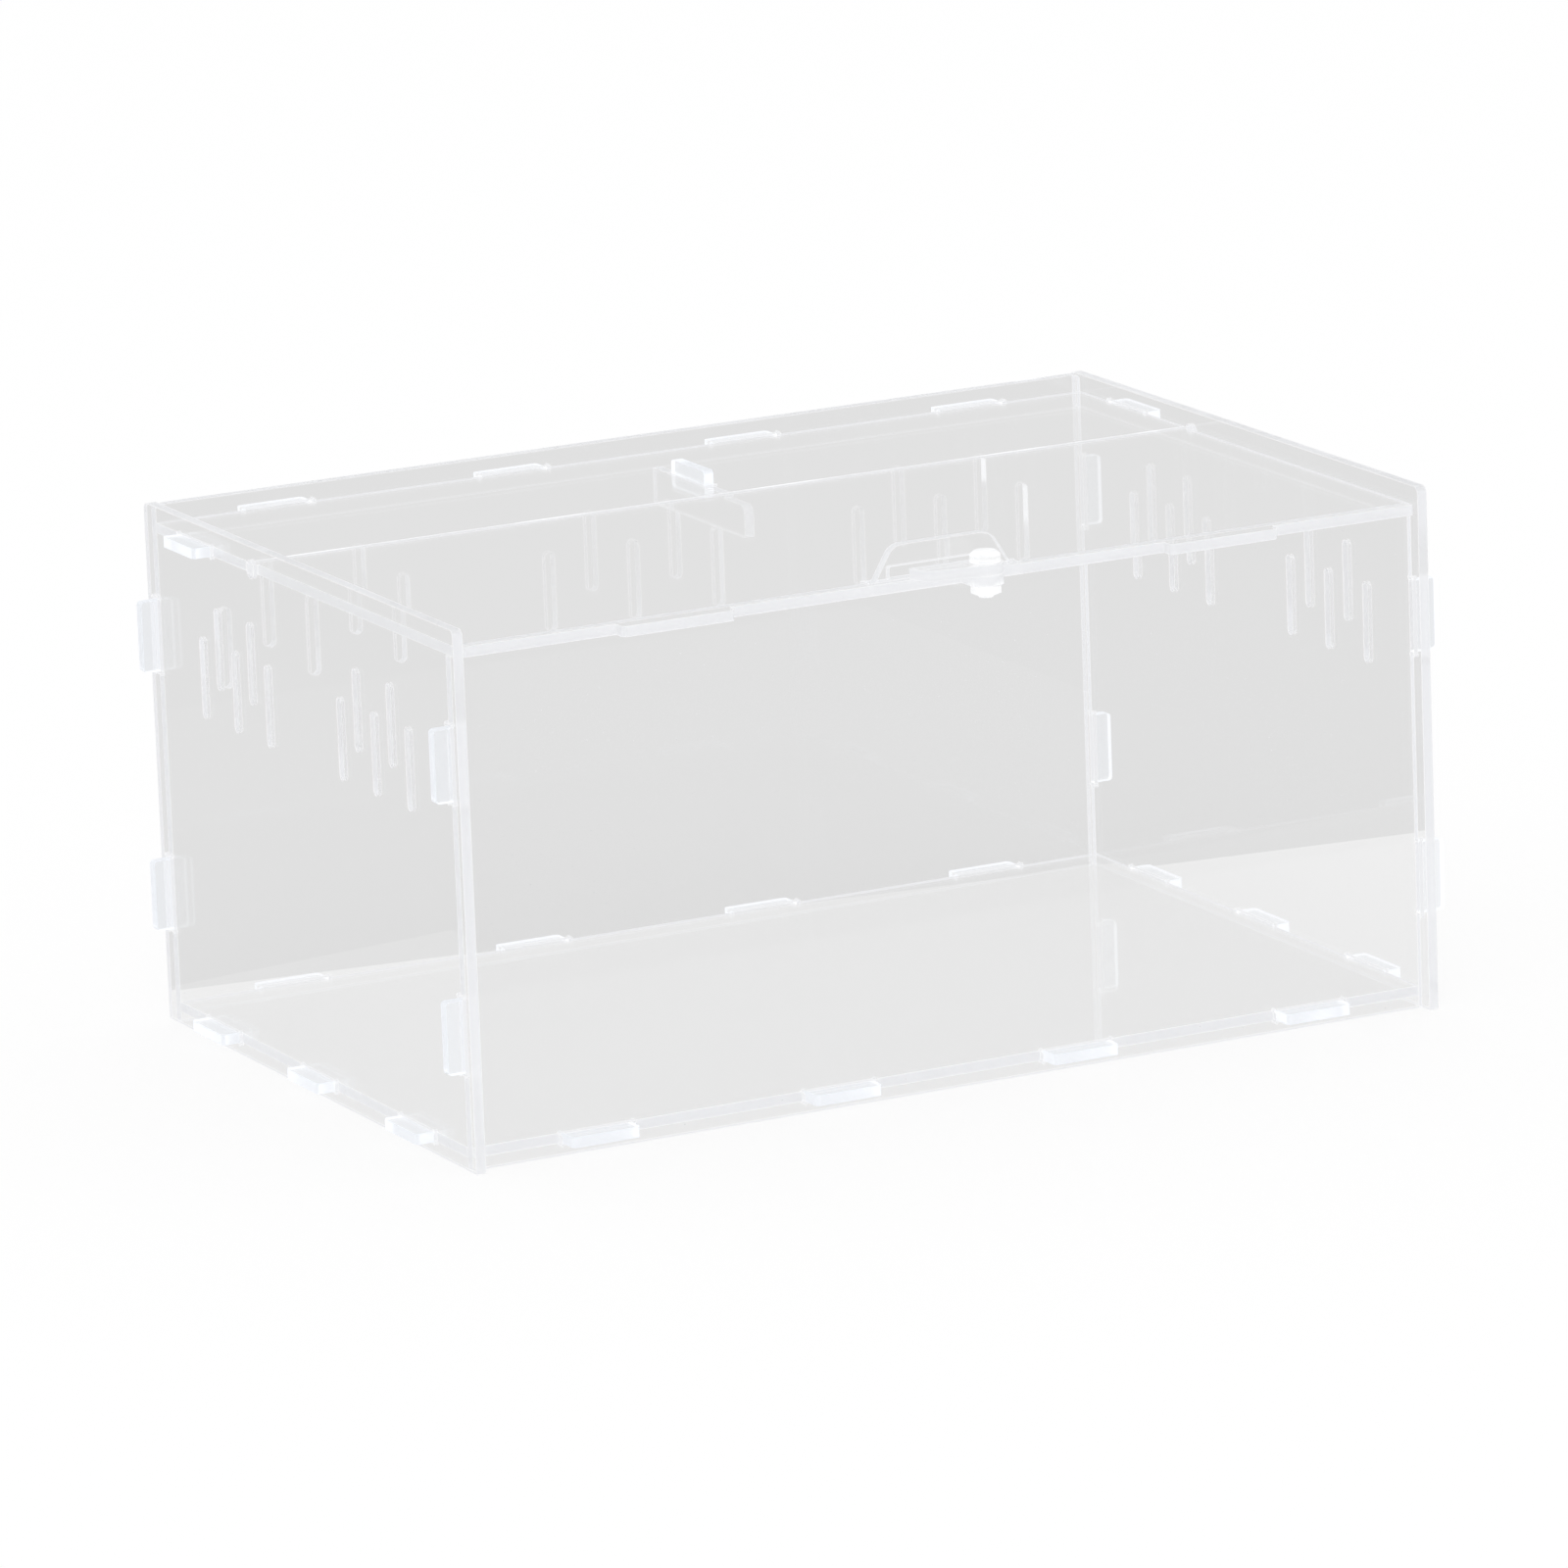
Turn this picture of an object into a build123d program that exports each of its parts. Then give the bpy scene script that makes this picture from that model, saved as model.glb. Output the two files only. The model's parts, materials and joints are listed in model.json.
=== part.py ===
from build123d import *
import os

os.makedirs("parts", exist_ok=True)

# Clear acrylic breeding box for small reptiles, cut from flat 3 mm sheet and slotted together.
# All sizes are in mm. X runs along the length, the latch is on the -Y side, Z is up from the table.

# Overall size of the box, over the outer faces of the end panels
box_length = 300.0
box_depth = 200.0
box_height = 150.0
sheet = 3.0                      # every panel is cut from this sheet

# Tabs and the slots that take them
tab_length = 20.4
tab_proud = 5.0                  # how far a tab stands out of the far side of its slot
tab_corner = 1.2
slot_end_clearance = 0.8         # free length at each end of a tab
slot_side_clearance = 0.1        # free width on each face of a tab
relief_radius = 0.6              # small relief that the cutter leaves in slot corners
relief_sides = 4

# Where the sheets stand
front_setback = 4.0              # end panel front edge to the outer face of the front panel
back_setback = 3.0               # end panel back edge to the outer face of the back panel
floor_bottom = 3.0               # underside of the floor above the table
lid_drop = 8.0                   # end panel top to the underside of the lid and of the rear strip
end_corner = 2.0                 # rounding of the end panels' top corners
back_corner = 1.5

# Tab rows
long_tab_inner = 37.0            # floor and strip tabs on the long sides, from the middle
long_tab_outer = 111.0
short_tab_pitch = 63.0           # floor tabs on the short sides
side_tab_share = 0.25            # side tabs stand at this share of the height from each end of it
strip_tab_back = 33.5            # end tab of the rear strip, from the end panel back edge

# Ventilation slots
vent_width = 3.0
vent_length = 23.2
vent_low_drop = 44.0             # slot middles below the end panel top, low and high in turn
vent_high_drop = 33.9
end_vent_pitch = 10.75
end_vent_front = 53.0            # group middle, from the end panel front edge
end_vent_back = 57.0             # group middle, from the end panel back edge
back_vent_pitch = 13.5
back_vent_group_pitch = 100.0
vents_per_group = 5

# Lid and its hinge
hinge_back = 71.0                # hinge axis, from the end panel back edge
hinge_ear = 4.0                  # width of the lid's hinge ears
hinge_clearance = 0.08           # running clearance of the ear corners in the round hole
lid_side_gap = 0.6
lid_front = 1.0                  # lid front edge, behind the end panel front edge
lid_strip_gap = 0.5              # free space between the turning lid edge and the strip
lid_corner = 1.0

# Two finger tongues at the front edge of the lid
tongue_width = 34.0
tongue_reach = 4.0
tongue_spacing = 84.0            # tongue middles, from the middle of the box
tongue_corner = 1.5
tongue_root = 0.8

# Upright ear of the front panel, which passes through the lid and takes the latch
ear_base = 45.0
ear_top = 30.0
ear_height = 12.5                # above the front panel's top edge
ear_corner = 5.0
window_width = 33.0
window_rise = 3.0                # bottom of the window above the front panel's top edge
window_height = 3.6
window_corner = 0.5
ear_slot_end = 0.6               # free length at each end of the ear in the lid's slot
ear_slot_front = 0.9             # room for the lid's swing in front of the ear
ear_slot_back = 0.5

# Latch: a turning arm held by a plastic screw and nut on a small lug of the lid
pivot_x = 9.0
pivot_depth = -3.4               # pivot axis, in front of the end panel front edge
lug_radius = 5.0
lug_root = 0.6
arm_tip_x = -12.2
arm_tip_back = 1.8               # back corner of the arm's tip, from the end panel front edge
arm_tip_front_x = -9.3
arm_tip_front = -4.9
arm_tip_corner = 0.6
arm_play = 0.1                   # free height under and over the arm
pivot_clearance = 0.06
screw_radius = 2.0
screw_head_radius = 4.3
screw_head_height = 3.0
screw_end = 1.0                  # screw length below the nut
drive_slot_width = 1.0
drive_slot_depth = 1.2
nut_across_flats = 7.2
nut_height = 2.6

# Bracket that carries the middle of the rear strip's front edge and the back of the lid
bracket_front = 80.0             # from the end panel back edge, as the next three are
bracket_back = 23.0
bracket_tab_front = 55.5
bracket_tab_back = 35.0
bracket_height = 10.5
bracket_tab_proud = 4.0
bracket_step = 1.2               # the arm under the lid is lower than the strip by this much
bracket_nose = 2.5
bracket_foot = 1.0

# Derived places
latch_reach = lug_radius - pivot_depth
back_reach = tab_proud - back_setback
front_edge = (latch_reach - box_depth - back_reach) / 2   # centres the whole part on Y = 0
back_edge = front_edge + box_depth
lid_level = box_height - lid_drop
half = box_length / 2
inner_half = half - sheet
tab_reach = sheet + tab_proud
slot_length = tab_length + 2 * slot_end_clearance
slot_width = sheet + 2 * slot_side_clearance
front_face = front_edge + front_setback
front_inner = front_face + sheet
back_face = back_edge - back_setback
back_inner = back_face - sheet
floor_middle = floor_bottom + sheet / 2
lid_top = lid_level + sheet
lid_middle = lid_level + sheet / 2
hinge_y = back_edge - hinge_back
ear_half_diagonal = (hinge_ear ** 2 + sheet ** 2) ** 0.5 / 2
hinge_hole = ear_half_diagonal + hinge_clearance
strip_front = hinge_y + ear_half_diagonal + lid_strip_gap
strip_tab_y = back_edge - strip_tab_back
lid_back = hinge_y + hinge_ear / 2
lid_half = inner_half - lid_side_gap
lid_front_y = front_edge + lid_front
pivot_y = front_edge + pivot_depth
box_middle = (front_edge + back_edge) / 2
long_tabs = (-long_tab_outer, -long_tab_inner, long_tab_inner, long_tab_outer)
short_tabs = (box_middle - short_tab_pitch, box_middle, box_middle + short_tab_pitch)
side_tabs = (box_height * side_tab_share, box_height * (1 - side_tab_share))
vent_heights = (box_height - vent_low_drop, box_height - vent_high_drop)


def slot(x, y, length, width):
    """Cuts one tab slot with its corner reliefs out of the sketch being drawn."""
    with Locations((x, y)):
        Rectangle(length, width, mode=Mode.SUBTRACT)
    corners = [(x + i * length / 2, y + j * width / 2) for i in (-1, 1) for j in (-1, 1)]
    with Locations(*corners):
        RegularPolygon(relief_radius, relief_sides, mode=Mode.SUBTRACT)


def vent_group(middle, pitch):
    """Cuts one group of upright vents, low and high in turn, out of the sketch being drawn."""
    for number in range(vents_per_group):
        place = middle + (number - (vents_per_group - 1) / 2) * pitch
        with Locations((place, vent_heights[number % 2])):
            SlotOverall(vent_length, vent_width, rotation=90, mode=Mode.SUBTRACT)


def draw_end_profile():
    """Draws the outline, slots, hinge hole and vents that both end panels share."""
    with Locations((box_middle, box_height / 2)):
        Rectangle(box_depth, box_height)
    fillet(profile.vertices().group_by(Axis.Y)[-1], end_corner)
    for y in short_tabs:
        slot(y, floor_middle, slot_length, slot_width)
    for y in (front_face + sheet / 2, back_face - sheet / 2):
        for z in side_tabs:
            slot(y, z, slot_width, slot_length)
    slot(strip_tab_y, lid_middle, slot_length, slot_width)
    with Locations((hinge_y, lid_middle)):
        Circle(hinge_hole, mode=Mode.SUBTRACT)
    for middle in (front_edge + end_vent_front, back_edge - end_vent_back):
        vent_group(middle, end_vent_pitch)


# End panels, standing outside the ends of all other sheets
with BuildPart() as left_end_panel:
    with BuildSketch(Plane.YZ.offset(-half)) as profile:
        draw_end_profile()
    extrude(amount=sheet)
left_end_panel.part.label = "left_end_panel"

with BuildPart() as right_end_panel:
    with BuildSketch(Plane.YZ.offset(half - sheet)) as profile:
        draw_end_profile()
    extrude(amount=sheet)
right_end_panel.part.label = "right_end_panel"

# Front panel, up to the lid's underside, with the ear that the latch arm hooks into
with BuildPart() as front_panel:
    with BuildSketch(Plane.XZ.offset(-front_inner)) as profile:
        with Locations((0, lid_level / 2)):
            Rectangle(2 * inner_half, lid_level)
        for z in side_tabs:
            with Locations((0, z)):
                Rectangle(2 * (inner_half + tab_reach), tab_length)
        fillet(profile.vertices().group_by(Axis.X)[0], tab_corner)
        fillet(profile.vertices().group_by(Axis.X)[-1], tab_corner)
        with BuildLine():
            Polyline(
                (-ear_base / 2, lid_level),
                (-ear_top / 2, lid_level + ear_height),
                (ear_top / 2, lid_level + ear_height),
                (ear_base / 2, lid_level),
                close=True,
            )
        make_face()
        fillet(profile.vertices().group_by(Axis.Y)[-1], ear_corner)
        with Locations((0, lid_level + window_rise + window_height / 2)):
            RectangleRounded(window_width, window_height, window_corner, mode=Mode.SUBTRACT)
        for x in long_tabs:
            slot(x, floor_middle, slot_length, slot_width)
    extrude(amount=sheet)
front_panel.part.label = "front_panel"

# Back panel, as high as the end panels, with three groups of vents
with BuildPart() as back_panel:
    with BuildSketch(Plane.XZ.offset(-back_face)) as profile:
        with Locations((0, box_height / 2)):
            Rectangle(2 * inner_half, box_height)
        fillet(profile.vertices().group_by(Axis.Y)[-1], back_corner)
        for z in side_tabs:
            with Locations((0, z)):
                Rectangle(2 * (inner_half + tab_reach), tab_length)
        fillet(profile.vertices().group_by(Axis.X)[0], tab_corner)
        fillet(profile.vertices().group_by(Axis.X)[-1], tab_corner)
        for x in long_tabs:
            slot(x, floor_middle, slot_length, slot_width)
            slot(x, lid_middle, slot_length, slot_width)
        for x in (-back_vent_group_pitch, 0, back_vent_group_pitch):
            vent_group(x, back_vent_pitch)
    extrude(amount=sheet)
back_panel.part.label = "back_panel"

# Floor, with tabs through all four walls
with BuildPart() as floor_panel:
    with BuildSketch(Plane.XY.offset(floor_bottom)) as profile:
        with Locations((0, (front_inner + back_inner) / 2)):
            Rectangle(2 * inner_half, back_inner - front_inner)
            with Locations(*[(x, 0) for x in long_tabs]):
                Rectangle(tab_length, back_inner - front_inner + 2 * tab_reach)
        for y in short_tabs:
            with Locations((0, y)):
                Rectangle(2 * (inner_half + tab_reach), tab_length)
        for axis in (Axis.X, Axis.Y):
            fillet(profile.vertices().group_by(axis)[0], tab_corner)
            fillet(profile.vertices().group_by(axis)[-1], tab_corner)
    extrude(amount=sheet)
floor_panel.part.label = "floor_panel"

# Fixed strip behind the lid
with BuildPart() as rear_top_strip:
    with BuildSketch(Plane.XY.offset(lid_level)) as profile:
        with Locations((0, (strip_front + back_inner) / 2)):
            Rectangle(2 * inner_half, back_inner - strip_front)
        with Locations(*[(x, back_inner + tab_reach / 2) for x in long_tabs]):
            Rectangle(tab_length, tab_reach)
        with Locations((0, strip_tab_y)):
            Rectangle(2 * (inner_half + tab_reach), tab_length)
        fillet(profile.vertices().group_by(Axis.X)[0], tab_corner)
        fillet(profile.vertices().group_by(Axis.X)[-1], tab_corner)
        fillet(profile.vertices().group_by(Axis.Y)[-1], tab_corner)
        tab_middle = back_edge - (bracket_tab_front + bracket_tab_back) / 2
        tab_space = bracket_tab_front - bracket_tab_back + 2 * slot_end_clearance
        slot(0, tab_middle, slot_width, tab_space)
    extrude(amount=sheet)
rear_top_strip.part.label = "rear_top_strip"

# Bracket under the strip, with its tab through the strip and its nose under the lid
with BuildPart() as lid_support_bracket:
    with BuildSketch(Plane.YZ.offset(-sheet / 2)) as profile:
        body_front = back_edge - bracket_front
        body_back = back_edge - bracket_back
        bottom = lid_level - bracket_height
        with Locations(((body_front + body_back) / 2, bottom + (bracket_height - bracket_step) / 2)):
            Rectangle(body_back - body_front, bracket_height - bracket_step)
        fillet(profile.vertices().group_by(Axis.X)[0].sort_by(Axis.Y)[-1], bracket_nose)
        fillet(profile.vertices().group_by(Axis.Y)[0], bracket_foot)
        with Locations(((strip_front + body_back) / 2, lid_level - bracket_step / 2)):
            Rectangle(body_back - strip_front, bracket_step)
        with Locations((tab_middle, lid_level + (sheet + bracket_tab_proud) / 2)):
            Rectangle(bracket_tab_front - bracket_tab_back, sheet + bracket_tab_proud)
        fillet(profile.vertices().group_by(Axis.Y)[-1], tab_corner)
    extrude(amount=sheet)
lid_support_bracket.part.label = "lid_support_bracket"

# Lid: a flat sheet with hinge ears, finger tongues, the slot for the ear and the latch lug
with BuildPart() as lid:
    with BuildSketch(Plane.XY.offset(lid_level)) as profile:
        with Locations((0, (lid_front_y + lid_back) / 2)):
            Rectangle(2 * lid_half, lid_back - lid_front_y)
        fillet(profile.vertices().group_by(Axis.Y)[0], lid_corner)
        with Locations((0, hinge_y)):
            Rectangle(box_length, hinge_ear)
        with Locations(*[(x, lid_front_y - tongue_reach / 2) for x in (-tongue_spacing, tongue_spacing)]):
            Rectangle(tongue_width, tongue_reach)
        fillet(profile.vertices().group_by(Axis.Y)[0], tongue_corner)
        tongue_roots = [
            v
            for v in profile.vertices()
            if abs(v.Y - lid_front_y) < relief_radius and abs(v.X) < tongue_spacing + tongue_width
        ]
        fillet(tongue_roots, tongue_root)
        with Locations((pivot_x, (pivot_y + lid_front_y) / 2)):
            Rectangle(2 * lug_radius, lid_front_y - pivot_y)
        fillet(
            [
                v
                for v in profile.vertices()
                if abs(v.Y - lid_front_y) < relief_radius and abs(v.X - pivot_x) < 2 * lug_radius
            ],
            lug_root,
        )
        with Locations((pivot_x, pivot_y)):
            Circle(lug_radius)
            Circle(screw_radius, mode=Mode.SUBTRACT)
        slot_front = front_face - ear_slot_front
        slot_back = front_inner + ear_slot_back
        slot(0, (slot_front + slot_back) / 2, ear_base + 2 * ear_slot_end, slot_back - slot_front)
    extrude(amount=sheet)
lid.part.label = "lid"

# Latch arm, which turns on the lid's lug and swings its tip through the ear's window
with BuildPart() as latch_arm:
    with BuildSketch(Plane.XY.offset(lid_top + arm_play)) as profile:
        with BuildLine():
            Polyline(
                (arm_tip_x, front_edge + arm_tip_back),
                (pivot_x, pivot_y + lug_radius),
                (pivot_x, pivot_y - lug_radius),
                (arm_tip_front_x, front_edge + arm_tip_front),
                close=True,
            )
        make_face()
        fillet(profile.vertices().filter_by_position(Axis.X, arm_tip_x, arm_tip_front_x), arm_tip_corner)
        with Locations((pivot_x, pivot_y)):
            Circle(lug_radius)
            Circle(screw_radius + pivot_clearance, mode=Mode.SUBTRACT)
    extrude(amount=sheet)
latch_arm.part.label = "latch_arm"

# Clear plastic screw: round head over the arm, plain shank through the arm, lug and nut
head_bottom = lid_top + sheet + 2 * arm_play
screw_bottom = lid_level - nut_height - screw_end
with BuildPart() as latch_screw:
    with BuildSketch(Plane.XY.offset(screw_bottom)):
        with Locations((pivot_x, pivot_y)):
            Circle(screw_radius)
    extrude(amount=head_bottom - screw_bottom)
    with BuildSketch(Plane.XY.offset(head_bottom)):
        with Locations((pivot_x, pivot_y)):
            Circle(screw_head_radius)
    extrude(amount=screw_head_height)
    chamfer(latch_screw.faces().sort_by(Axis.Z)[-1].edges(), screw_head_height / 3)
    with BuildSketch(Plane.XY.offset(head_bottom + screw_head_height)):
        with Locations((pivot_x, pivot_y)):
            Rectangle(2 * screw_head_radius, drive_slot_width)
    extrude(amount=-drive_slot_depth, mode=Mode.SUBTRACT)
latch_screw.part.label = "latch_screw"

# Plastic hexagon nut under the lug
with BuildPart() as latch_nut:
    with BuildSketch(Plane.XY.offset(lid_level - nut_height)):
        with Locations((pivot_x, pivot_y)):
            RegularPolygon(nut_across_flats / 2, 6, major_radius=False, rotation=30)
            Circle(screw_radius, mode=Mode.SUBTRACT)
    extrude(amount=nut_height)
latch_nut.part.label = "latch_nut"

for piece in (
    left_end_panel,
    right_end_panel,
    front_panel,
    back_panel,
    floor_panel,
    rear_top_strip,
    lid_support_bracket,
    lid,
    latch_arm,
    latch_screw,
    latch_nut,
):
    export_step(piece.part, f"parts/{piece.part.label}.step")
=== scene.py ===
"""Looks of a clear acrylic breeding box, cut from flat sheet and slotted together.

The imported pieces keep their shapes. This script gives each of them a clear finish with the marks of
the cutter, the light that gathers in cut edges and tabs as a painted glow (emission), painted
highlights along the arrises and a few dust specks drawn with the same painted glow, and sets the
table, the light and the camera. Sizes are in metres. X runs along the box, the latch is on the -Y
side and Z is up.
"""

import json
import logging
import math
from dataclasses import dataclass
from enum import Enum
from typing import Any, Union

import bpy
from mathutils import Matrix, Vector

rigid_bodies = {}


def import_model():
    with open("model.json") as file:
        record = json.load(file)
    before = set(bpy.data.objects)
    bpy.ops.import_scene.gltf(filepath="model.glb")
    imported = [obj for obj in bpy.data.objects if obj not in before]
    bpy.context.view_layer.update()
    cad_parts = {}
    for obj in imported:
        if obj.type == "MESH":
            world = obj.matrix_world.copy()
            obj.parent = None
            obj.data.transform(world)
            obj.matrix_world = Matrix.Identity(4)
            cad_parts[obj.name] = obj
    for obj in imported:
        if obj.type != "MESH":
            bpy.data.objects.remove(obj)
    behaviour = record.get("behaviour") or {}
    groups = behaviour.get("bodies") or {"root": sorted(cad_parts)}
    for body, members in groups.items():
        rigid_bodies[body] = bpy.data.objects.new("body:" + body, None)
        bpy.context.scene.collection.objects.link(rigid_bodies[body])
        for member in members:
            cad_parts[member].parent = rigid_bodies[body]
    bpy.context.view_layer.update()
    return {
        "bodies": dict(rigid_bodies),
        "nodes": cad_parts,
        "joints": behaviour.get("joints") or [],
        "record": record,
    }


Colour = tuple[float, float, float]
Number = Union[float, "Socket"]

LOG = logging.getLogger("breeding_box")
PICTURE_SIZE = 1600
SENSOR_WIDTH = 36.0
FURTHEST_SEEN = 50.0
MOST_BOUNCES = 16
ACRYLIC_INDEX = 1.49
NO_TINT: Colour = (1.0, 1.0, 1.0)
UNLIT: Colour = (0.0, 0.0, 0.0)
UNSCALED = 1.0
BELOW_ALL = -1.0
MIX_SHARE, MIX_LOW, MIX_HIGH, MIX_RESULT = 0, 6, 7, 2


class Facing(Enum):
    """The axis that a sheet's two large faces look along."""

    X = "X"
    Y = "Y"
    Z = "Z"


@dataclass(frozen=True)
class Socket:
    """A number that a node gives, with the usual arithmetic on it."""

    graph: "Graph"
    link: bpy.types.NodeSocket

    def __add__(self, other: Number) -> "Socket":
        """Adds a number or another socket."""
        return self.graph.maths("ADD", self, other)

    __radd__ = __add__

    def __sub__(self, other: Number) -> "Socket":
        """Takes a number or another socket away."""
        return self.graph.maths("SUBTRACT", self, other)

    def __rsub__(self, other: Number) -> "Socket":
        """Takes this socket away from a number."""
        return self.graph.maths("SUBTRACT", other, self)

    def __mul__(self, other: Number) -> "Socket":
        """Multiplies by a number or another socket."""
        return self.graph.maths("MULTIPLY", self, other)

    __rmul__ = __mul__

    def __abs__(self) -> "Socket":
        """Drops the sign."""
        return self.graph.maths("ABSOLUTE", self)

    def __gt__(self, other: Number) -> "Socket":
        """Gives 1 where this is the greater, and 0 elsewhere."""
        return self.graph.maths("GREATER_THAN", self, other)

    def __lt__(self, other: Number) -> "Socket":
        """Gives 1 where this is the lesser, and 0 elsewhere."""
        return self.graph.maths("LESS_THAN", self, other)

    def capped(self) -> "Socket":
        """Keeps the number between 0 and 1."""
        return self.graph.maths("MAXIMUM", 0.0, self.graph.maths("MINIMUM", 1.0, self))


class Graph:
    """The nodes of one material or world."""

    def __init__(self, tree: bpy.types.NodeTree) -> None:
        """Empties a node tree and keeps it to be filled."""
        self.tree = tree
        self.tree.nodes.clear()

    def node(
        self, kind: str, sockets: dict[Any, Any] | None = None, **settings: Any
    ) -> bpy.types.Node:
        """Makes one node.

        Args:
            kind: The node's Blender type.
            sockets: Values or links for its inputs, by name or number.
            settings: The node's own settings, which are set before its inputs.

        Returns:
            The new node.
        """
        made = self.tree.nodes.new(kind)
        for name, value in settings.items():
            setattr(made, name, value)
        for key, value in (sockets or {}).items():
            into = made.inputs[key]
            if isinstance(value, Socket):
                value = value.link
            if isinstance(value, bpy.types.NodeSocket):
                self.tree.links.new(value, into)
            elif isinstance(value, tuple) and len(value) == 3 and into.type == "RGBA":
                into.default_value = (*value, 1.0)
            else:
                into.default_value = value
        return made

    def maths(self, operation: str, *values: Number) -> Socket:
        """Makes a Math node of the named operation on one or more numbers."""
        made = self.node("ShaderNodeMath", dict(enumerate(values)), operation=operation)
        return Socket(self, made.outputs[0])

    def between(self, share: Number, low: Any, high: Any) -> bpy.types.NodeSocket:
        """Mixes two colours or links, 0 for the first and 1 for the second."""
        sockets = {MIX_SHARE: share, MIX_LOW: low, MIX_HIGH: high}
        return self.node("ShaderNodeMix", sockets, data_type="RGBA").outputs[MIX_RESULT]

    def noise(
        self, scale: float, detail: float, where: bpy.types.NodeSocket | None = None
    ) -> Socket:
        """Makes a soft random pattern that stays with the piece.

        Args:
            scale: Spots per unit of the coordinates.
            detail: How many finer layers it has.
            where: The coordinates, or none for the piece's own.

        Returns:
            The pattern, from 0 to 1.
        """
        where = where or self.node("ShaderNodeTexCoord").outputs["Object"]
        sockets = {"Vector": where, "Scale": scale, "Detail": detail}
        return Socket(self, self.node("ShaderNodeTexNoise", sockets).outputs[0])

    def place(self, facing: Facing, along: float, across: float) -> bpy.types.NodeSocket:
        """Stretches the piece's own coordinates into streaks that run through a sheet.

        Args:
            facing: The axis that the sheet's large faces look along.
            along: Scale in the plane of the sheet.
            across: Scale through its thickness.

        Returns:
            The stretched coordinates.
        """
        scale = tuple(across if axis is facing else along for axis in Facing)
        where = self.node("ShaderNodeTexCoord").outputs["Object"]
        made = self.node("ShaderNodeVectorMath", {0: where, 1: scale}, operation="MULTIPLY")
        return made.outputs[0]

    def axis(self, output: str, facing: Facing) -> Socket:
        """Reads one axis of the piece's own "Normal" or "Object" coordinates."""
        whole = self.node("ShaderNodeTexCoord").outputs[output]
        return Socket(self, self.node("ShaderNodeSeparateXYZ", {0: whole}).outputs[facing.value])

    def bump(self, height: Number, strength: float, depth: float) -> bpy.types.NodeSocket:
        """Makes a surface uneven by a pattern's height, its strength and its real depth."""
        sockets = {"Height": height, "Strength": strength, "Distance": depth}
        return self.node("ShaderNodeBump", sockets).outputs[0]

    def clear(self, blur: Number, surface: bpy.types.NodeSocket) -> bpy.types.Node:
        """Makes clear acrylic without tint.

        Args:
            blur: Roughness of its surface.
            surface: The uneven surface's direction.

        Returns:
            The shader.
        """
        sockets = {
            "Base Color": NO_TINT,
            "Roughness": blur,
            "IOR": ACRYLIC_INDEX,
            "Transmission Weight": 1.0,
            "Normal": surface,
        }
        return self.node("ShaderNodeBsdfPrincipled", sockets)

    def painted_glow(self, colour: Any, strength: float) -> bpy.types.Node:
        """Makes a painted glow: emission that stands in for light collected inside the plastic.

        Args:
            colour: Its colour or link.
            strength: Its strength.

        Returns:
            The shader.
        """
        sockets = {
            "Base Color": UNLIT,
            "Roughness": 1.0,
            "Specular IOR Level": 0.0,
            "Emission Color": colour,
            "Emission Strength": strength,
        }
        return self.node("ShaderNodeBsdfPrincipled", sockets)

    def inside(self) -> Socket:
        """Gives 1 where light meets a surface from inside the plastic."""
        return Socket(self, self.node("ShaderNodeNewGeometry").outputs["Backfacing"])

    def blend(self, share: Number, low: bpy.types.Node, high: bpy.types.Node) -> bpy.types.Node:
        """Mixes two shaders, 0 for the first and 1 for the second."""
        return self.node("ShaderNodeMixShader", {0: share, 1: low.outputs[0], 2: high.outputs[0]})


@dataclass(frozen=True)
class Vents:
    """The part of a sheet with its ventilation slots, whose walls take less painted glow than its
    edges.
    """

    across: Facing
    reach: float
    low: float = 0.09
    high: float = 0.131


@dataclass(frozen=True)
class Tabs:
    """The ends of a sheet that pass through its neighbours, beyond two places on one axis."""

    along: Facing
    low: float
    high: float


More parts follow.
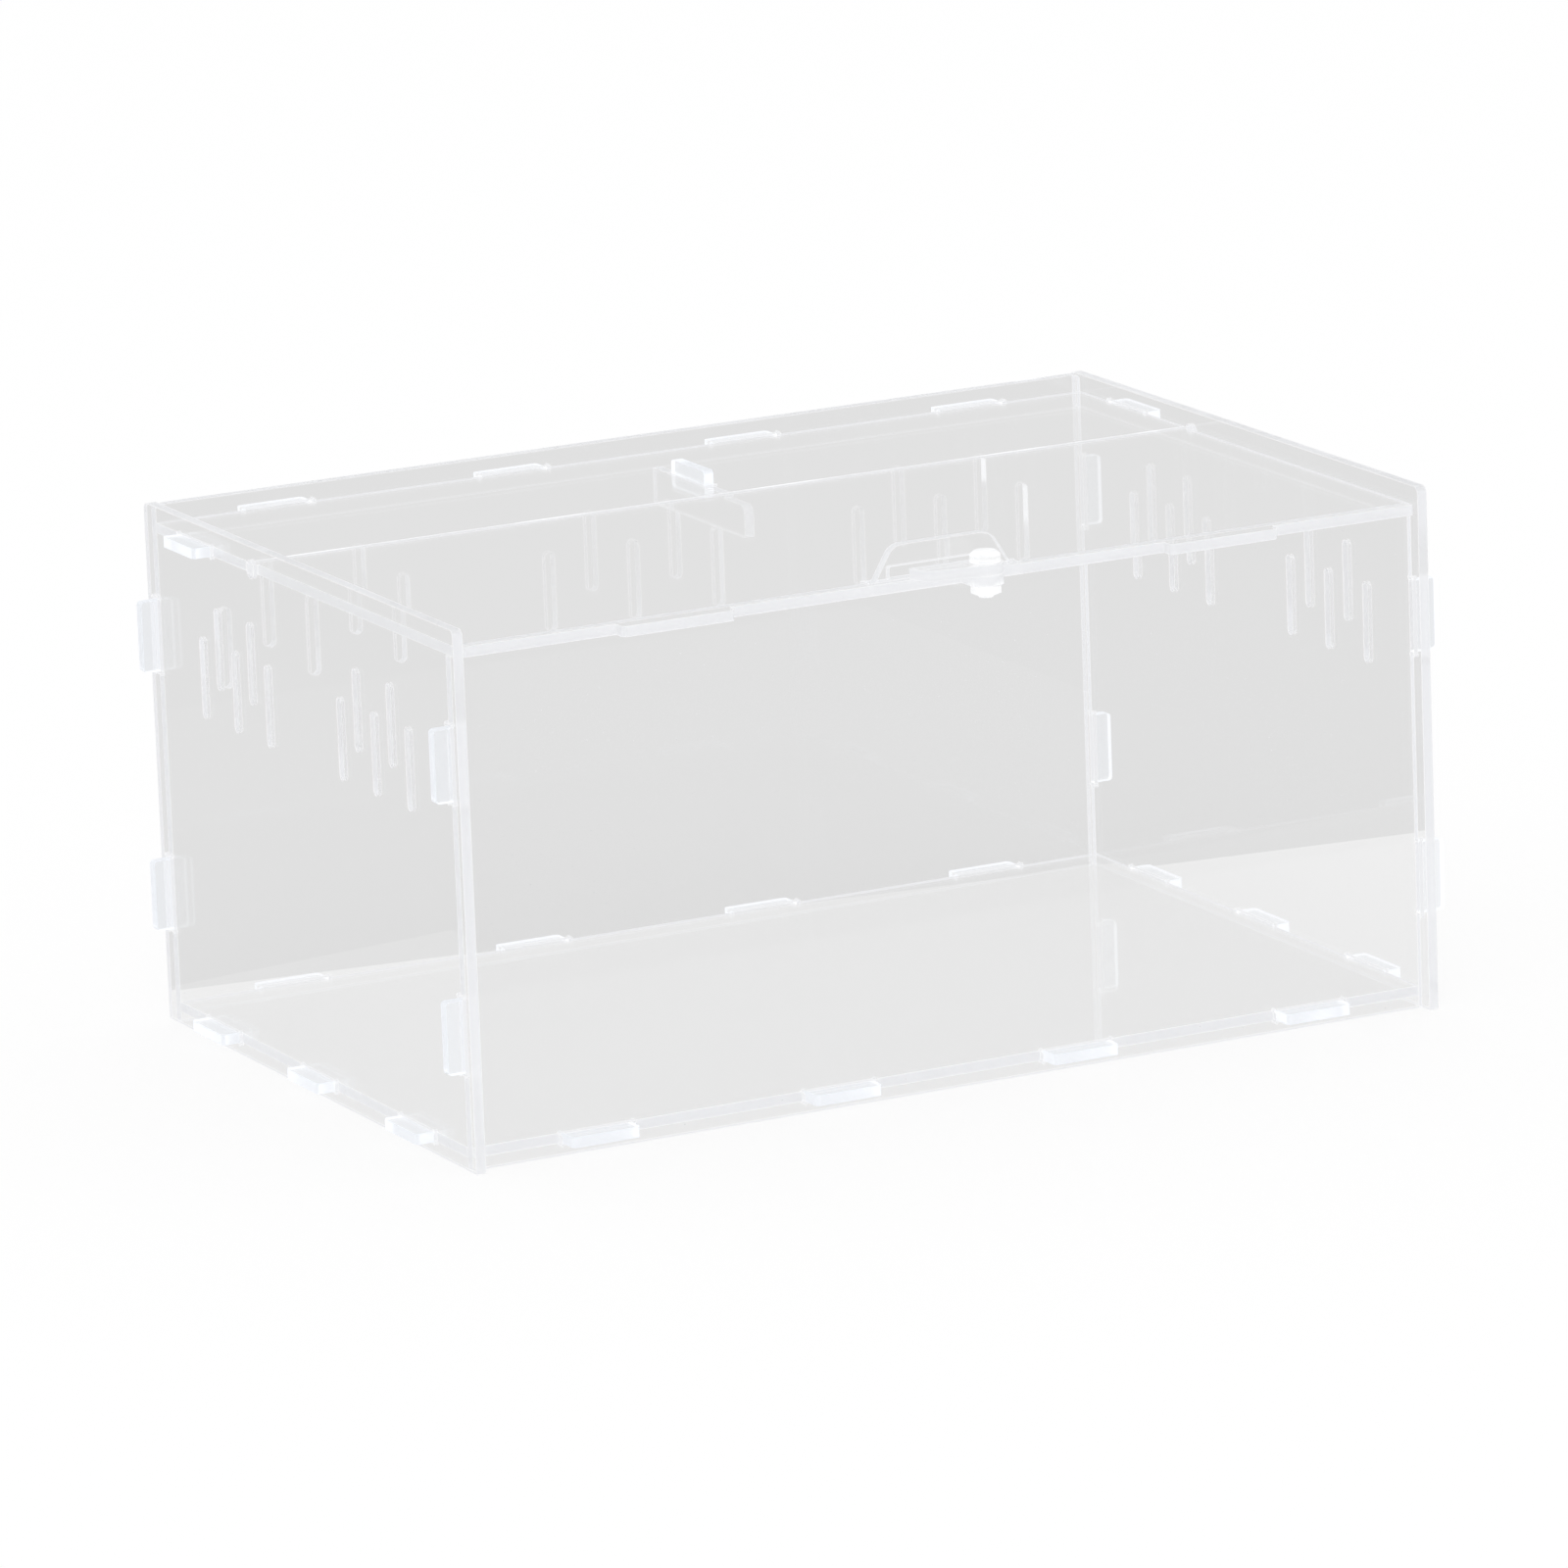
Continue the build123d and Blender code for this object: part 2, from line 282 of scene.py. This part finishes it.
@dataclass(frozen=True)
class ClearSheet:
    """Clear cast acrylic sheet: polished faces, and a painted glow on laser-cut edges, more on tabs.

    A share says how much of a place the painted glow takes. Colours are shares of the glow.
    """

    name: str
    facing: Facing
    vents: Vents | None
    tabs: tuple[Tabs, ...]
    edge_glow_share: float = 0.14
    inner_glow_share: float = 0.8
    arris_highlight_share: float = 4.5
    tab_glow_share: float = 0.4
    vent_glow_share: float = 0.5
    dust_speck_glow_share: float = 0.5
    glow: float = 1.8
    inner_glow_colour: Colour = (0.485, 0.49, 0.503)
    arris_highlight_colour: Colour = (0.56, 0.56, 0.56)
    tab_glow_colour: Colour = (0.51, 0.53, 0.56)
    tab_end_glow_colour: Colour = (0.7, 0.71, 0.73)
    rim_width: float = 0.0006
    rim_samples: int = 2
    arris_highlight_gain: float = 3.0
    edge_blur: float = 0.28
    face_slope: float = 0.7
    longest_path: float = 12.0
    streaks_per_metre: float = 2600.0
    streaks_through: float = 60.0
    streak_detail: float = 1.0
    streak_strength: float = 0.12
    streak_depth: float = 0.0002
    specks_per_metre: float = 60.0
    speck_size: float = 0.045

    def edges(self, graph: Graph) -> tuple[Socket, Socket]:
        """Finds the cut edges and the arrises along them, which take a painted highlight.

        Args:
            graph: The material's nodes.

        Returns:
            1 on the cut edges, and how near each place is to an arris.
        """
        edge = 1 - (abs(graph.axis("Normal", self.facing)) > self.face_slope)
        width = {"Radius": self.rim_width}
        rounded = graph.node("ShaderNodeBevel", width, samples=self.rim_samples)
        flat = graph.node("ShaderNodeNewGeometry").outputs["True Normal"]
        turned = graph.node(
            "ShaderNodeVectorMath", {0: rounded.outputs[0], 1: flat}, operation="DOT_PRODUCT"
        )
        return edge, 1 - abs(Socket(graph, turned.outputs["Value"]))

    def strength(self, graph: Graph, edge: Socket) -> Socket:
        """Weakens the painted glow of the cut edges inside the vents.

        Args:
            graph: The material's nodes.
            edge: 1 on the cut edges.

        Returns:
            How much of the painted glow each cut edge takes.
        """
        if self.vents is None:
            return edge
        height = graph.axis("Object", Facing.Z)
        across = abs(graph.axis("Object", self.vents.across))
        middle = (self.vents.low + self.vents.high) / 2
        half = (self.vents.high - self.vents.low) / 2
        outside = (abs(height - middle) > half) + (across > self.vents.reach)
        return edge * (self.vent_glow_share + (1 - self.vent_glow_share) * outside.capped())

    def beyond(self, graph: Graph) -> Socket:
        """Finds the tabs that pass through the neighbouring sheets.

        Args:
            graph: The material's nodes.

        Returns:
            1 on the tabs.
        """
        ends = []
        for tabs in self.tabs:
            place = graph.axis("Object", tabs.along)
            ends.append((place > tabs.high) + (place < tabs.low))
        return sum(ends[1:], ends[0]).capped()

    def make(self) -> bpy.types.Material:
        """Builds the material.

        Returns:
            The finished material.
        """
        material = bpy.data.materials.new(self.name)
        material.use_nodes = True
        graph = Graph(material.node_tree)
        edge, rim = self.edges(graph)
        grain = graph.place(self.facing, self.streaks_per_metre, self.streaks_through)
        streaks = graph.noise(UNSCALED, self.streak_detail, grain) * edge
        surface = graph.bump(streaks, self.streak_strength, self.streak_depth)
        sheet = graph.clear(edge * self.edge_blur, surface)
        inside = graph.inside()
        steps = Socket(graph, graph.node("ShaderNodeLightPath").outputs["Ray Depth"])
        # dust specks are real dust, drawn with the painted glow instead of being lit
        spot = graph.node("ShaderNodeTexVoronoi", {"Scale": self.specks_per_metre})
        speck = Socket(graph, spot.outputs["Distance"]) < self.speck_size
        # painted glow (emission) in the cut edges, stronger where they are seen from inside the sheet
        share = inside * (self.inner_glow_share - self.edge_glow_share) + self.edge_glow_share
        # painted highlight along each arris, where the Bevel normal turns away from the flat one
        share = self.strength(graph, edge) * share + rim * self.arris_highlight_share
        # adds the specks' painted glow, and fills paths deeper than longest_path with painted glow
        share = share + speck * self.dust_speck_glow_share + (steps > self.longest_path)
        # near an arris the painted glow takes the painted highlight colour
        bright = (rim * self.arris_highlight_gain).capped()
        colour = graph.between(bright, self.inner_glow_colour, self.arris_highlight_colour)
        # tabs seen from outside take extra painted glow; from inside, the tab ends take their own
        # painted glow colour
        if self.tabs:
            beyond = self.beyond(graph)
            share = share + (1 - inside) * beyond * self.tab_glow_share
            tab_glow_colour = graph.between(inside, self.tab_glow_colour, self.tab_end_glow_colour)
            colour = graph.between(beyond, colour, tab_glow_colour)
        whole = graph.blend(share.capped(), sheet, graph.painted_glow(colour, self.glow))
        graph.node("ShaderNodeOutputMaterial", {"Surface": whole.outputs[0]})
        return material


@dataclass(frozen=True)
class ClearPlastic:
    """Moulded clear plastic of the screw and nut, painted with more inner glow than the sheets."""

    name: str
    thread_pitch: float = 0.0005
    thread_top: float = 0.1425
    clouds_per_metre: float = 700.0
    cloud_detail: float = 2.0
    bump_strength: float = 0.5
    bump_depth: float = 0.0001
    blur: float = 0.08
    glow: float = 1.1
    inner_glow_colour: Colour = (0.98, 0.99, 1.0)
    inner_glow_share: float = 0.55

    def make(self) -> bpy.types.Material:
        """Builds the material.

        Returns:
            The finished material.
        """
        material = bpy.data.materials.new(self.name)
        material.use_nodes = True
        graph = Graph(material.node_tree)
        height = graph.axis("Object", Facing.Z)
        ridge = graph.maths("SINE", height * (2 * math.pi / self.thread_pitch))
        thread = ridge * (1 - (height > self.thread_top))
        cloud = graph.noise(self.clouds_per_metre, self.cloud_detail)
        surface = graph.bump(thread + cloud, self.bump_strength, self.bump_depth)
        plastic = graph.clear(cloud * self.blur, surface)
        glow = graph.painted_glow(self.inner_glow_colour, self.glow)
        # faces seen from inside the plastic take the painted glow (emission)
        whole = graph.blend(graph.inside() * self.inner_glow_share, plastic, glow)
        graph.node("ShaderNodeOutputMaterial", {"Surface": whole.outputs[0]})
        return material


def dress(node: str, material: bpy.types.Material, frame: dict[str, Any]) -> None:
    """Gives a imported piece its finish.

    Args:
        node: Name of the piece.
        material: Its finish.
    """
    piece = frame["nodes"][node]
    piece.data.materials.clear()
    piece.data.materials.append(material)
    LOG.info("%s wears %s", node, material.name)


@dataclass
class Panels:
    """The flat sheets of the box and of its lid."""

    end_vents: Vents = Vents(across=Facing.Y, reach=0.08)
    back_vents: Vents = Vents(across=Facing.X, reach=0.14)
    end_tabs: Tabs = Tabs(along=Facing.X, low=-0.147, high=0.147)
    floor_tabs: Tabs = Tabs(along=Facing.Y, low=-0.0898, high=0.0972)
    strip_tabs: Tabs = Tabs(along=Facing.Y, low=BELOW_ALL, high=0.0972)
    bracket_tab: Tabs = Tabs(along=Facing.Z, low=BELOW_ALL, high=0.142)

    def sheets(self) -> dict[str, tuple[Facing, Vents | None, tuple[Tabs, ...]]]:
        """Lists the sheets: where each one faces, its vents and its tabs."""
        return {
            "left_end_panel": (Facing.X, self.end_vents, ()),
            "right_end_panel": (Facing.X, self.end_vents, ()),
            "front_panel": (Facing.Y, None, (self.end_tabs,)),
            "back_panel": (Facing.Y, self.back_vents, (self.end_tabs,)),
            "floor_panel": (Facing.Z, None, (self.end_tabs, self.floor_tabs)),
            "rear_top_strip": (Facing.Z, None, (self.end_tabs, self.strip_tabs)),
            "lid": (Facing.Z, None, ()),
            "latch_arm": (Facing.Z, None, ()),
            "lid_support_bracket": (Facing.X, None, (self.bracket_tab,)),
        }

    def dress(self, frame: dict[str, Any]) -> None:
        """Gives every sheet its finish.
        """
        for node, (facing, vents, tabs) in self.sheets().items():
            dress(node, ClearSheet(node + "_acrylic", facing, vents, tabs).make(), frame)
        for node in ("latch_screw", "latch_nut"):
            dress(node, ClearPlastic(node + "_plastic").make(), frame)


@dataclass
class Studio:
    """The white table, the pale backdrop behind it and the even light.

    All are pure white where they are seen past the box, as in the photograph. Through the sheets
    and in their reflections they are pale grey, and the table around the box is the lightest.
    """

    table_size: float = 12.0
    table_gap: float = 0.0002
    table_end: Vector = Vector((0.15, 0.0973, 0.0))
    table_end_slope: float = -0.123
    bright_reach: float = 0.26
    table_paint: Colour = (0.96, 0.96, 0.96)
    shadow_share: float = 0.12
    table_through: float = 0.87
    backdrop_through: float = 0.715
    sky_through: float = 0.77
    over_through: float = 0.88
    white_above: float = 0.32
    white_growth: float = 4.0
    lamp_watts: float = 12.0
    lamp_size: float = 2.0
    lamp_spot: Vector = Vector((-1.6, -2.2, 3.0))

    def rays(self, graph: Graph) -> tuple[Socket, Socket]:
        """Sorts the rays that reach the surround.

        Args:
            graph: The nodes of the table or the sky.

        Returns:
            1 for the rays that show the surround itself, and 1 for those that came by a sheet.
        """
        outputs = graph.node("ShaderNodeLightPath").outputs
        path = {output.name: Socket(graph, output) for output in outputs}
        bent = (path["Is Glossy Ray"] + path["Is Transmission Ray"]).capped()
        through = bent * (1 - (path["Diffuse Depth"] > 0))
        return (path["Is Camera Ray"] + bent).capped(), through

    def table(self) -> None:
        """Lays the white table under the box, with the pale backdrop from its far edge on."""
        half = self.table_size / 2
        mesh = bpy.data.meshes.new("table")
        signs = ((-1, -1), (1, -1), (1, 1), (-1, 1))
        corners = [(x * half, y * half, -self.table_gap) for x, y in signs]
        mesh.from_pydata(corners, [], [(0, 1, 2, 3)])
        top = bpy.data.objects.new("table", mesh)
        bpy.context.scene.collection.objects.link(top)
        material = bpy.data.materials.new("table_white")
        material.use_nodes = True
        graph = Graph(material.node_tree)
        shown, through = self.rays(graph)
        right, deep = (graph.axis("Object", facing) for facing in (Facing.X, Facing.Y))
        behind = deep - (right - self.table_end.x) * self.table_end_slope > self.table_end.y
        aside = (abs(right) > self.bright_reach) + (deep < -self.bright_reach)
        far = (behind + aside).capped()
        grey = (1 - self.table_through) + far * (self.table_through - self.backdrop_through)
        paint = graph.node("ShaderNodeBsdfDiffuse", {"Color": self.table_paint})
        level = 1 - through * grey
        white = graph.node("ShaderNodeEmission", {"Color": NO_TINT, "Strength": level})
        surface = graph.blend(shown * (1 - self.shadow_share), paint, white)
        graph.node("ShaderNodeOutputMaterial", {"Surface": surface.outputs[0]})
        mesh.materials.append(material)

    def light(self) -> None:
        """Sets an even white surround and one large soft lamp."""
        world = bpy.data.worlds.new("surround")
        world.use_nodes = True
        bpy.context.scene.world = world
        graph = Graph(world.node_tree)
        through = self.rays(graph)[1]
        way = graph.node("ShaderNodeTexCoord").outputs["Generated"]
        rise = Socket(graph, graph.node("ShaderNodeSeparateXYZ", {0: way}).outputs[Facing.Z.value])
        over = ((rise - self.white_above) * self.white_growth).capped()
        grey = (1 - self.sky_through) - over * (self.over_through - self.sky_through)
        level = 1 - through * grey
        sky = graph.node("ShaderNodeBackground", {"Color": NO_TINT, "Strength": level})
        graph.node("ShaderNodeOutputWorld", {"Surface": sky.outputs[0]})
        lamp = bpy.data.lights.new("softbox", "AREA")
        lamp.size = self.lamp_size
        lamp.energy = self.lamp_watts
        holder = bpy.data.objects.new("softbox", lamp)
        holder.location = self.lamp_spot
        holder.rotation_mode = "QUATERNION"
        holder.rotation_quaternion = (-self.lamp_spot).to_track_quat("-Z", "Y")
        bpy.context.scene.collection.objects.link(holder)
        bpy.context.scene.view_settings.view_transform = "Standard"


@dataclass
class Camera:
    """The photograph's camera, fitted to 15 sheet corners of a box held at 300 x 200 x 150 mm."""

    aim: Vector = Vector((0.0, 0.0032, 0.075))
    azimuth: float = -26.85
    elevation: float = 13.64
    roll: float = -2.17
    distance: float = 3.144
    focal_pixels: float = 11430.0
    aside: float = -0.0018
    below: float = -0.0081

    def place(self) -> None:
        """Makes the camera and looks through it."""
        turn, lift, tilt = (math.radians(a) for a in (self.azimuth, self.elevation, self.roll))
        back = Vector(
            (math.sin(turn) * math.cos(lift), -math.cos(turn) * math.cos(lift), math.sin(lift))
        )
        level = Vector((math.cos(turn), math.sin(turn), 0.0))
        over = back.cross(level)
        right = math.cos(tilt) * level + math.sin(tilt) * over
        up = math.cos(tilt) * over - math.sin(tilt) * level
        spot = self.aim + back * self.distance + right * self.aside + up * self.below
        data = bpy.data.cameras.new("camera")
        data.sensor_width = SENSOR_WIDTH
        data.lens = self.focal_pixels / PICTURE_SIZE * SENSOR_WIDTH
        data.clip_end = FURTHEST_SEEN
        holder = bpy.data.objects.new("camera", data)
        bpy.context.scene.collection.objects.link(holder)
        turned = Matrix((right, up, back)).transposed().to_4x4()
        holder.matrix_world = Matrix.Translation(spot) @ turned
        bpy.context.scene.camera = holder


def main() -> None:
    """Builds the looks, the table, the light and the camera in order."""
    logging.basicConfig(level=logging.INFO, format="%(name)s: %(message)s")
    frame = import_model()
    Camera().place()
    Panels().dress(frame)
    studio = Studio()
    studio.table()
    studio.light()
    limits = bpy.context.scene.cycles
    limits.max_bounces = limits.glossy_bounces = limits.transmission_bounces = MOST_BOUNCES


if __name__ == "__main__":
    main()
